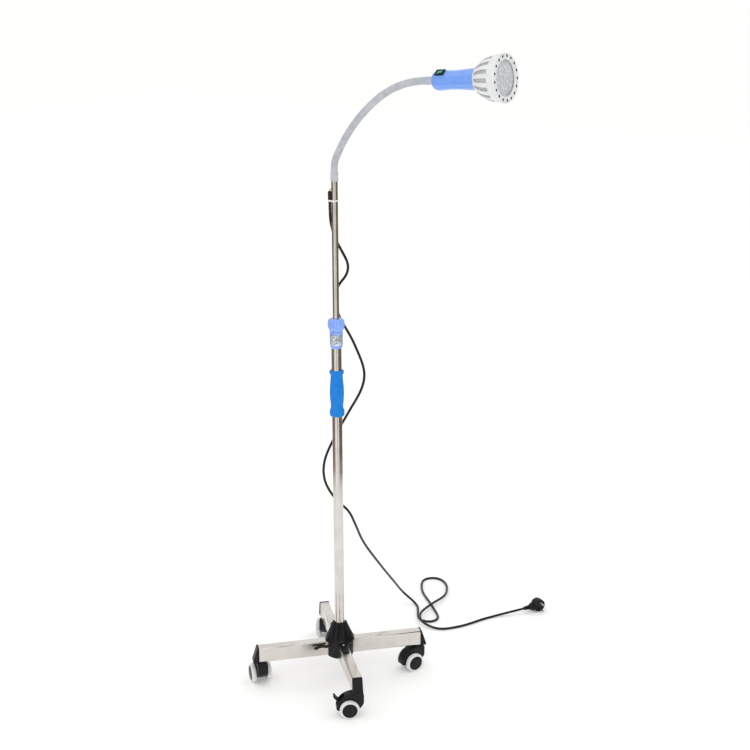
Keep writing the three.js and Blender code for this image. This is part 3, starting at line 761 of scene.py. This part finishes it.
def add_neck():
    piece = NECK_LENGTH / NECK_PIECES
    for k in range(1, NECK_PIECES):
        start = NECK_GAP if k == 1 else (k - 0.5) * piece
        end = NECK_LENGTH - NECK_GAP if k == NECK_PIECES - 1 else (k + 0.5) * piece
        sleeve = neck_sleeve(f"neck_sleeve_{k}", start, end)
        sleeve.data.materials.append(LOOKS["neck"])
        hidden = ["neck_piece_1", "neck_piece_2"] if k == 1 else [f"neck_piece_{k + 1}"]
        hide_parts(*hidden)
        centre, along, _ = neck_at(k * piece)
        centre = mast_foot + centre * MM
        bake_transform(sleeve)
    foot = rounded([(8.7, 1334.5, 0.3), (9.4, 1334.5, 0.5), (9.4, 1314.3, 0.4), (6.7, 1314.3),
                    (6.7, 1294, 0.5), (4.4, 1294), (4.4, 1316.7), (8.7, 1316.7)], 0.3, 3)
    dress(revolve("neck_foot", foot, sides=64), "mast", LOOKS["neck"], "neck_sleeve",
          "neck_base_ferrule")


add_neck()


# ---------------------------------------------------------------- lamp head
LAMP_AXIS = (middle("lamp_lens") - middle("neck_head_ferrule")).normalized()
LENS_DEPTH = 6.0
FACE_CENTRE = middle("lamp_lens") + LAMP_AXIS * LENS_DEPTH * MM
HEAD = frame_at(FACE_CENTRE, LAMP_AXIS, Vector((0, 0, -1)))


def behind(points):
    """Outline points given as radius and distance behind the lamp's face."""
    return [(point[0], -point[1], *point[2:]) for point in points]


def handle_shell():
    outline = behind([(25.2, 71.7, 0.4), (24.8, 76, 3), (22.6, 101, 10), (20.9, 128, 10),
                      (21.5, 149, 8), (22.9, 167, 6), (22.2, 176.5, 4), (18.4, 182, 3),
                      (13, 183, 1.5), (10, 183, 0.5), (10, 180.6, 0.4), (15, 180.2, 2),
                      (19.8, 172, 3), (18.6, 128, 8), (22.7, 71.7, 0.4)])
    return revolve("handle_shell", rounded(outline, 1, 6), HEAD, 128)


SWITCH_STATION = 160
SWITCH_TURN = math.radians(37)
SWITCH_SEAT = 21.4
SWITCH = (HEAD @ shifted(0, 0, -SWITCH_STATION) @ Matrix.Rotation(SWITCH_TURN, 4, "Z")
          @ Matrix.Rotation(-math.pi / 2, 4, "Y"))


def add_handle():
    """The handle with its raised pad, the switch's bezel in the pad, and the rocker."""
    shell = handle_shell()
    pad = slab("pad", box_outline(25.6, 20.6, 4), 15.5, SWITCH_SEAT, 1.2, SWITCH, 4)
    well = slab("well", box_outline(20, 14.4, 1), 8, SWITCH_SEAT + 2, 0.1, SWITCH, 1)
    pad = cut(pad, well)
    handle = join("handle_moulding", shell, pad)
    handle.data.shade_smooth()
    handle.data.set_sharp_from_angle(angle=math.radians(SHARP_DEGREES))
    dress(handle, "head", LOOKS["blue"], "blue_plastic", "handle")
    top = SWITCH_SEAT + 3
    bezel = slab("bezel", box_outline(23, 18, 1.6), SWITCH_SEAT + 0.2, top, 0.8, SWITCH, 4)
    hole = slab("hole", box_outline(16.6, 11, 0.8), 14, top + 2, 0.05, SWITCH, 1)
    bezel = cut(bezel, hole)
    liner = slab("liner", box_outline(19, 13, 0.6), 9, 14.4, 0.3, SWITCH, 2)
    dress(join("switch_bezel", bezel, liner), "head", LOOKS["black"], "black_plastic",
          "switch_body")
    across = SWITCH @ Matrix.Rotation(math.pi / 2, 4, "X")
    outline = rounded([(-6.4, top - 5, 0.5), (0, top - 8, 0.5), (7.4, top - 2.6, 0.6),
                       (7.6, top + 3.8, 0.6), (0, top - 0.3, 1.6), (-7.6, top - 0.9, 0.5)],
                      0.5, 5)
    rocker = slab("rocker_cap", outline, -5, 5, 0.5, across, 3)
    dress(rocker, "rocker", LOOKS["green"], "green_plastic", "switch_rocker")


FINS = 16


def add_housing():
    """The lamp's white shell with moulded cooling recesses that run from its neck to its waist;
    faces inside the recesses get a darker grey as painted shade.
    """
    outer = [(26, 71), (27.2, 70, 1), (34, 63, 4), (42.4, 51, 6), (47.2, 40, 6), (50, 28, 6),
             (51.5, 17, 5), (53.5, 4.9, 1)]
    inner = [(51, 4.7, 0.5), (48.5, 26), (44.8, 39), (39.6, 49.5), (31.8, 60), (24.6, 68),
             (14, 68), (14, 71, 0.3)]
    profile = densified(rounded(behind(outer + inner), 2, 6), 1.2, 26)
    period = 2 * math.pi / FINS
    edges = (-0.5, -0.40, -0.30, -0.245, -0.225, -0.205, -0.1, 0, 0.1, 0.205, 0.225, 0.245,
             0.30, 0.40)
    angles = [period * (k + edge) for k in range(FINS) for edge in edges]

    def off_middle(angle):
        """How far a heading is from a recess's middle line, as a share of the period."""
        return abs((angle / period + 0.5) % 1.0 - 0.5)

    def recessed(angle, r, z):
        side = max(0.0, min(1.0, (0.245 - off_middle(angle)) / 0.04))
        length = max(0.0, min(1.0, (-z - 21) / 2)) * max(0.0, min(1.0, (64.5 - -z) / 3))
        return r - 4.0 * side * length if r > 27 else r

    shell = revolve("lamp_shell", profile, HEAD, angles=angles, shape=recessed)
    dress(shell, "head", LOOKS["white"], "white_plastic", "lamp_housing")
    # Faces inside the recesses take a darker grey: painted shade for the hollows, which are the
    # same white plastic.
    shell.data.materials.append(LOOKS["recess_shade"])
    to_head = HEAD.inverted()
    for face in shell.data.polygons:
        spot = to_head @ face.center / MM
        share = off_middle(math.atan2(spot.y, spot.x))
        if share < 0.236 and 21.5 < -spot.z < 64:
            face.material_index = 1


VENTS = 17
VENT_RADIUS = 3.4
VENT_CIRCLE = 47.6
PINHOLE_RADIUS = 0.75
PINHOLE_CIRCLE = 50.8


def add_rim():
    outline = behind([(39.2, 1.2, 0.6), (40.6, 0, 0.8), (52.8, 0, 1.4), (54.2, 1.6, 1),
                      (54.2, 4.4, 0.6), (42.7, 4.4, 0.3), (42.7, 8, 0.3), (41.6, 8, 0.3),
                      (41.6, 4.0, 0.3), (39.2, 4.0, 0.5)])
    rim = revolve("rim", rounded(outline, 0.5, 4), HEAD, 136)
    holes = ((0, VENT_RADIUS, VENT_CIRCLE), (0.5, PINHOLE_RADIUS, PINHOLE_CIRCLE))
    tools = []
    for k in range(VENTS):
        for share, radius, circle in holes:
            angle = 2 * math.pi * (k + share) / VENTS
            spot = shifted(circle * math.cos(angle), circle * math.sin(angle), 0)
            tools.append(revolve("tool", [(0, -9), (radius, -9), (radius, 3), (0, 3)],
                                 HEAD @ spot, 28, False))
    drill = join("drill", *tools)
    rim = cut(rim, drill)
    dress(rim, "head", LOOKS["white"], "white_plastic", "vented_rim")
    # Near-black discs set inside each vent hole: painted shade for the dark inside of the vents.
    fit = VENT_RADIUS - 0.05
    plug = rounded(behind([(0, 0.8), (fit, 0.8), (fit, 4), (0, 4)]), 0.2, 2, False)
    plugs = []
    for k in range(VENTS):
        angle = 2 * math.pi * k / VENTS
        spot = shifted(VENT_CIRCLE * math.cos(angle), VENT_CIRCLE * math.sin(angle), 0)
        plugs.append(revolve("plug", plug, HEAD @ spot, 28, False))
    dress(join("vent_shade_discs", *plugs), "head", LOOKS["shade"], "black_plastic")


DOME_PITCH = 8.2
DOME_RADIUS = 3.6
DOME_HEIGHT = 2.2
DOME_DEPTH = 6.4


def add_lens():
    """A plate of small domed lenses, one over each emitter, in rings."""
    plate = revolve("plate", rounded(behind([(0, 5.4), (40.6, 5.4), (41, 6), (41, 7.5),
                                             (0, 7.5)]), 0.3, 3, False), HEAD, 96, False)
    domes = []
    dome = [(DOME_RADIUS * math.sin(a), DOME_HEIGHT * math.cos(a) - DOME_DEPTH)
            for a in (math.pi / 2 * k / 6 for k in range(7))]
    dome.append((0, -DOME_DEPTH))
    for ring in range(5):
        count = max(1, 6 * ring)
        for k in range(count):
            angle = 2 * math.pi * k / count
            circle = DOME_PITCH * ring
            spot = shifted(circle * math.cos(angle), circle * math.sin(angle), 0)
            domes.append(revolve("dome", dome, HEAD @ spot, 20, False))
    dress(join("lens_plate", plate, *domes), "head", LOOKS["lens"], "lens_plastic", "lamp_lens")


def add_head_ferrule():
    outline = behind([(8.9, 207, 0.3), (9.4, 207, 0.5), (9.4, 181.4, 0.4), (9.9, 180.4, 0.2),
                      (12.4, 180.2, 0.3), (12.4, 176.8, 0.3), (8.9, 176.8, 0.3)])
    dress(revolve("head_ferrule", rounded(outline, 0.3, 3), HEAD, 64), "head", LOOKS["neck"],
          "neck_sleeve", "neck_head_ferrule")


add_handle()
add_housing()
add_rim()
add_lens()
add_head_ferrule()
for node, look in (("lamp_socket", "white"), ("lamp_screw_base", "brass"), ("led_board", "white"),
                   ("collet", "white"), ("guide_bush", "white"), ("hub_bolt", "pin")):
    frame["nodes"][node].data.materials.clear()
    frame["nodes"][node].data.materials.append(LOOKS[look])


# ---------------------------------------------------------------- base
LEG_TOP = 108
LEG_HEIGHT = 40
LEG_WIDTH = 25
LEG_INNER = 20
LEG_OUTER = 215
STEM_REACH = 208


def leg_heading(side):
    """Direction of a leg, from the mast to its caster's swivel."""
    reach = joint_place(f"caster_{side}_swivel") - mast_foot
    return math.atan2(reach.y, reach.x)


def leg_place(side):
    return MAST @ Matrix.Rotation(leg_heading(side), 4, "Z")


def along_leg(side):
    """A frame whose Z runs out along the leg, X across it and Y up."""
    return leg_place(side) @ Matrix(((0, 0, 1, 0), (1, 0, 0, 0), (0, 1, 0, 0), (0, 0, 0, 1)))


def add_leg(side):
    outline = box_outline(LEG_WIDTH, LEG_HEIGHT, 3, (0, LEG_TOP - LEG_HEIGHT / 2))
    tube = slab(f"leg_tube_{side}", outline, LEG_INNER, LEG_OUTER, 0.25, along_leg(side), 2)
    look = steel(f"steel_leg_{side}", (60, 1, 1), leg_heading(side), 0.12, 0.30)
    dress(tube, "base", look, "stainless_steel", f"leg_{side}")


def across_leg(side):
    """A frame drawn in the leg's upright plane: X out along it, Y up, Z to its right."""
    return leg_place(side) @ Matrix.Rotation(math.pi / 2, 4, "X")


def add_end_cap(side):
    start = LEG_OUTER + 0.2
    outline = rounded([(start, 66.5), (start + 15.5, 66.5), (start + 15.8, 71), (start + 4, 108.4),
                       (start, 108.4)], 1.6, 4)
    wedge = slab("wedge", outline, -13, 13, 1.4, across_leg(side), 4)
    collar = slab("collar", box_outline(26, 41.4, 2.4, (0, 87.6)), start, start + 2.2, 0.6,
                  along_leg(side), 3)
    outline = rounded([(0, 64.9), (11.5, 64.9), (11.5, 67.8), (0, 67.8)], 0.6, 3, False)
    foot = revolve("foot", outline, leg_place(side) @ shifted(STEM_REACH, 0, 0), 48, False)
    dress(join(f"cap_{side}", wedge, collar, foot), "base", LOOKS["black"], "black_plastic",
          f"end_cap_{side}")


HUB_RIBS = 8
FIRST_RIB = math.radians(-30.6)


def add_hub():
    """Barrel, overhanging skirt and a fluted cone whose ribs stand up round the mast."""
    barrel = rounded([(0, 62.5), (31, 62.5, 2), (35.5, 66, 3), (36, 105, 1), (0, 105)], 1, 5,
                     False)
    drum = revolve("drum", barrel, sides=128, loop=False)
    cone = [(13, 104.5), (37, 104.5, 1), (38.6, 107, 1.5), (37.4, 113, 3), (27.5, 134, 8),
            (20.6, 151, 4), (19, 155.5, 1.5), (14.6, 155.5, 1), (13, 151, 1)]

    def fluted(angle, r, z):
        wave = 0.5 + 0.5 * math.cos(HUB_RIBS * (angle - FIRST_RIB))
        valley = (1 - wave) ** 1.4
        lift = max(0.0, min(1.0, (z - 110) / 10))
        return r - 6.2 * valley * lift if r > 14.9 else r

    profile = densified(rounded(cone, 2, 6), 2.5)
    cone = revolve("cone", profile, sides=192, shape=fluted)
    # A black slab on the front and back leg tops: painted reflection of the dark cone in the
    # polished leg top.
    reflection_tongues = []
    for side in REFLECTION_TONGUE_LEGS:
        outline = rounded([(-9.7, 28), (9.7, 28), (9.7, 80, 5), (6.4, 88.2, 5.5),
                           (-6.4, 88.2, 5.5), (-9.7, 80, 5)], 5, 6)
        place = leg_place(side) @ Matrix.Rotation(-math.pi / 2, 4, "Z")
        reflection_tongues.append(slab("painted_reflection_tongue", outline, 107.6, 111.2, 1.3, place, 4))
    dress(join("hub", drum, cone, *reflection_tongues), "base", LOOKS["black"], "black_plastic", "base_hub")
    screws = []
    for side in REFLECTION_TONGUE_LEGS:
        place = leg_place(side) @ shifted(48, 0, 111)
        head = rounded([(0, -1), (3.6, -1), (3.6, 0.9, 0.8), (1.6, 1.5, 0.3), (1.3, 0.7, 0.2),
                        (0, 0.6)], 0.3, 4, False)
        screws.append(revolve("screw", head, place, 32, False))
    dress(join("hub_screws", *screws), "base", LOOKS["pin"], "stainless_steel")


def add_wing_screw(side):
    joint = joints[f"wing_screw_{side}_turn"]
    out = Vector(joint["axis"])
    node_low, node_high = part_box(f"wing_screw_{side}")
    size = node_high - node_low
    upright = size.z > 15
    leg = Vector((-out.y, out.x, 0))
    turn = math.radians(62 if upright else 4)
    wide = leg * math.cos(turn) + Vector((0, 0, 1)) * math.sin(turn)
    origin = joint_place(f"wing_screw_{side}_turn")
    origin = origin - out * 16 * MM + out * LEG_WIDTH / 2 * MM
    place = frame_at(origin, out, wide)
    boss = revolve("boss", rounded([(0, -5), (3, -5), (3, 0.4, 0.1), (5.4, 0.4, 0.4), (5, 6, 0.8),
                                    (0, 7)], 0.3, 4, False), place, 40, False)
    lobe = [(5, 2.6, 1.5), (13, 4, 3), (18.6, 6.8, 3), (20, 11, 3), (17, 15, 3), (11, 16, 4),
            (5, 10, 3)]
    outline = rounded(lobe + [(-x, y, reach) for x, y, reach in reversed(lobe)], 1.5, 5)
    wing = slab("wing", outline, -2.4, 2.4, 1.2,
                place @ Matrix.Rotation(math.pi / 2, 4, "X"), 4)
    dress(join(f"wing_{side}", boss, wing), f"wing_screw_{side}", LOOKS["black"],
          "black_plastic", f"wing_screw_{side}")


# ---------------------------------------------------------------- casters
TRAIL = 19.3
WHEEL_INNER = 13.9
HOOD_HALF_WIDTH = 13.4


def caster_place(side):
    """X trails from the swivel towards the axle, Y across the wheels, at the wheels' centre."""
    swivel = joint_place(f"caster_{side}_swivel")
    a, b = (joint_place(f"wheel_{side}_{wheel}_spin") for wheel in "ab")
    axle = (a + b) / 2
    trail = Vector((axle.x - swivel.x, axle.y - swivel.y, 0)).normalized()
    return frame_at(axle, Vector((0, 0, 1)), trail)


def caster_plane(side):
    """A frame drawn in a caster's upright plane: X trails, Y up, Z across the wheels."""
    return caster_place(side) @ Matrix.Rotation(math.pi / 2, 4, "X")


def add_hood(side):
    """The hood between the wheels, with an axle dimple on each flank and the stem's seat."""
    outline = [(31.5, -5, 2.5), (33, 3, 5), (30.5, 13, 6), (26, 21, 7), (18, 29.5, 7),
               (8, 35.4, 5), (-3, 38.4, 4), (-13, 39.2, 1), (-32, 39.2, 2), (-37, 35, 2),
               (-37, 10, 5), (-27, -3, 5), (-12, -8, 5), (0, -12, 5), (12, -8, 5)]
    side_on = caster_plane(side)
    hood = slab("hood", rounded(outline, 4, 5), -HOOD_HALF_WIDTH, HOOD_HALF_WIDTH, 2.6, side_on, 5)
    dimple = rounded([(0, 0), (2.2, 0), (2.2, 3), (0, 3)], 0.4, 3, False)
    spots = [revolve("dimple", dimple, side_on @ shifted(17, 12, flank - 1.5), 24, False)
             for flank in (-HOOD_HALF_WIDTH, HOOD_HALF_WIDTH)]
    hood = cut(hood, join("dimples", *spots))
    rim = rounded([(0, 36), (13, 36, 0.5), (13, 40.6, 0.8), (10.4, 41.8, 0.6), (0, 41.8)],
                  0.5, 4, False)
    seat = revolve("seat", rim, caster_place(side) @ shifted(-TRAIL, 0, 0), 56, False)
    return join(f"hood_{side}", hood, seat)


def add_wheel(side, wheel):
    """A pale tyre with rounded shoulders round a black dished cover with moulded rings."""
    joint = joints[f"wheel_{side}_{wheel}_spin"]
    axis = Vector(joint["axis"])
    hand = 1 if wheel == "a" else -1
    centre = caster_place(side).translation
    place = frame_at(centre, axis * hand, Vector((0, 0, 1)))
    inner = WHEEL_INNER
    tyre = [(9, inner + 0.3, 0.5), (23, inner + 0.3, 1), (25, inner + 2.6, 2), (25, inner + 9.2, 3),
            (23.4, inner + 12.4, 2), (20.6, inner + 13.1, 1), (19.2, inner + 12.6, 0.5),
            (18.8, inner + 10.5, 0.4), (9, inner + 10.5, 0.4)]
    tread = revolve(f"tyre_{side}_{wheel}", rounded(tyre, 1, 6), place, 96)
    body = f"wheel_{side}_{wheel}"
    dress(tread, body, LOOKS["tread"], "wheel_plastic", f"caster_wheel_{side}_{wheel}")
    top = inner + 12.7
    cover = [(0, top - 3), (18.7, top - 3, 0.3), (18.7, top - 0.4, 0.6), (17.6, top + 0.3, 0.6),
             (15.6, top + 0.3, 0.3), (15.1, top - 0.5, 0.3), (14.4, top - 0.5, 0.3),
             (13.9, top + 0.1, 0.3), (9, top + 0.35, 3), (4.6, top + 0.4, 0.3),
             (4.3, top - 0.3, 0.2), (3.9, top - 0.3, 0.2), (3.6, top + 0.4, 0.3), (0, top + 0.4)]
    disc = revolve(f"wheel_cover_{side}_{wheel}", rounded(cover, 0.3, 4, False), place, 96, False)
    dress(disc, body, LOOKS["black"], "black_plastic")


def add_brake(side):
    """A brake pedal that stands out of the hood's rear."""
    outline = [(17, 17, 2), (20, 9.5, 2), (25, 12, 3), (37, 26.5, 2), (40, 31, 1.2),
               (39, 34.6, 1.2), (36, 34.8, 1.2), (31, 28, 3), (23, 19.5, 4)]
    pedal = slab(f"brake_pedal_{side}", rounded(outline, 2, 5), -8, 8, 1.1, caster_plane(side), 4)
    dress(pedal, f"brake_{side}", LOOKS["black"], "black_plastic", f"brake_lever_{side}")


def add_caster(side):
    hood = add_hood(side)
    if side in BRAKED:
        pocket = slab("pocket", rounded([(12, 6), (44, 6), (44, 50), (12, 50)], 1, 3), -9.2, 9.2,
                      0.5, caster_plane(side), 2)
        hood = cut(hood, pocket)
        add_brake(side)
    dress(hood, f"caster_{side}", LOOKS["black"], "black_plastic", f"caster_hood_{side}")
    for wheel in "ab":
        add_wheel(side, wheel)
    for node in (f"caster_axle_{side}", f"caster_stem_{side}"):
        frame["nodes"][node].data.materials.clear()
        frame["nodes"][node].data.materials.append(LOOKS["pin"])


add_hub()
for side in SIDES:
    add_leg(side)
    add_end_cap(side)
    add_caster(side)
for side in ("left", "right"):
    add_wing_screw(side)


# ---------------------------------------------------------------- studio
WORLD_STRENGTH = 1.0


def add_floor():
    floor = make("floor", [(-9000, -9000, -0.2), (9000, -9000, -0.2), (9000, 9000, -0.2),
                           (-9000, 9000, -0.2)], [(0, 1, 2, 3)])
    look = Look("studio_floor", roughness=0.75, specular=0.2)
    look.paint(look.noise(3, 3), (0.90, 0.90, 0.90), (0.92, 0.92, 0.92))
    look.shader.inputs["Emission Color"].default_value = (1, 1, 1, 1)
    look.shader.inputs["Emission Strength"].default_value = 0.12
    floor.data.materials.append(look.material)


def add_light(name, place, aim, size, power):
    data = bpy.data.lights.new(name, "AREA")
    data.shape = "RECTANGLE"
    data.size, data.size_y = size
    data.energy = power
    light = bpy.data.objects.new(name, data)
    turn = (Vector(aim) - Vector(place)).to_track_quat("-Z", "Y")
    light.matrix_world = Matrix.Translation(place) @ turn.to_matrix().to_4x4()
    bpy.context.scene.collection.objects.link(light)


def add_world():
    world = bpy.data.worlds.new("studio")
    bpy.context.scene.world = world
    world.use_nodes = True
    background = world.node_tree.nodes["Background"]
    background.inputs["Color"].default_value = (1.0, 0.995, 0.985, 1)
    background.inputs["Strength"].default_value = WORLD_STRENGTH


def add_panel(name, start, end, colour, reach=1500, low=0, high=2600):
    """A dark upright that only reflections see; headings in degrees from the camera's."""
    steps = 12
    points = []
    for k in range(steps + 1):
        angle = CAMERA_AZIMUTH + math.radians(start + (end - start) * k / steps)
        points += [(reach * math.cos(angle), reach * math.sin(angle), z) for z in (low, high)]
    faces = [(2 * k, 2 * k + 2, 2 * k + 3, 2 * k + 1) for k in range(steps)]
    panel = make(name, points, faces)
    look = Look(name, roughness=0.9, specular=0.0)
    look.paint(look.noise(2, 3), colour, [channel * 1.15 for channel in colour])
    panel.data.materials.append(look.material)
    panel.visible_camera = False
    panel.visible_diffuse = False
    panel.visible_shadow = False
    panel.visible_transmission = False


add_floor()
add_world()
add_panel("panel_left", -145, -52, (0.24, 0.185, 0.14))
add_panel("panel_middle", 0, 10, (0.12, 0.10, 0.085))
add_panel("panel_right", 36, 146, (0.17, 0.135, 0.105))
add_light("key", (1.5, -2.5, 3.2), (0, 0, 0.8), (2.5, 2.0), 16)
add_light("fill", (-2.6, -1.5, 2.0), (0, 0, 0.8), (2.0, 2.5), 5)
add_light("back", (0.0, 3.0, 2.8), (0, 0, 0.8), (2.5, 1.5), 5)
